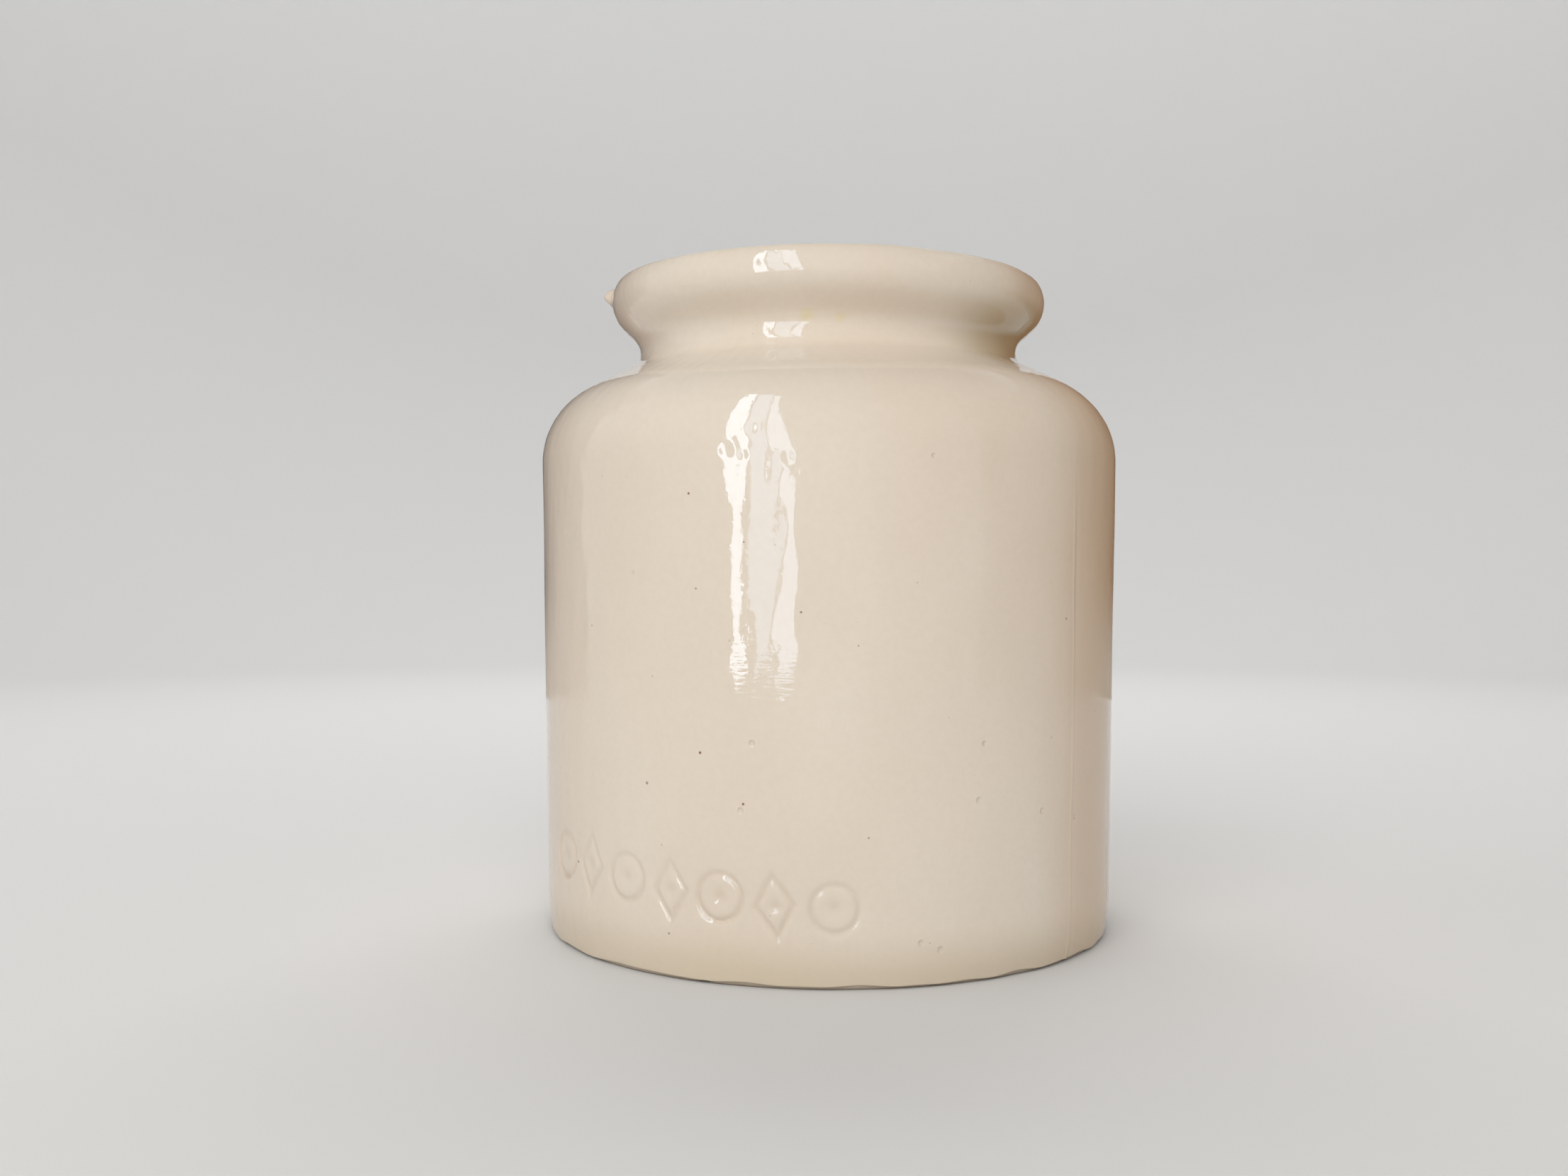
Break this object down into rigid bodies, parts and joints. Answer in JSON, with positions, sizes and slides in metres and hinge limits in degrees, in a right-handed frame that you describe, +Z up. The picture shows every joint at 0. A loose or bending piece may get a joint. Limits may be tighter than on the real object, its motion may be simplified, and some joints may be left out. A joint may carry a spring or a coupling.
{
  "type": "open glazed stoneware jar",
  "caption": "Open round stoneware jar with a straight belly, rounded shoulder, grooved neck and flared rim, ivory glazed inside and out, with a bare foot.",
  "frame": {"origin": "centre of the foot, on the surface that the jar stands on", "axes": "+Z up along the jar's axis; the jar is round, so X and Y are free, and -Y is taken as its front"},
  "size_m": [0.1032, 0.1032, 0.115],
  "materials": {
    "bare_stoneware": "matt, slightly gritty fired clay",
    "outer_glaze": "glossy ivory glaze with fine specks",
    "inner_glaze": "glossy ivory glaze, slightly warmer than outside"
  },
  "bodies": {
    "root": {"stoneware_body": "bare_stoneware", "outer_glaze": "outer_glaze", "inner_glaze": "inner_glaze"}
  },
  "joints": []
}
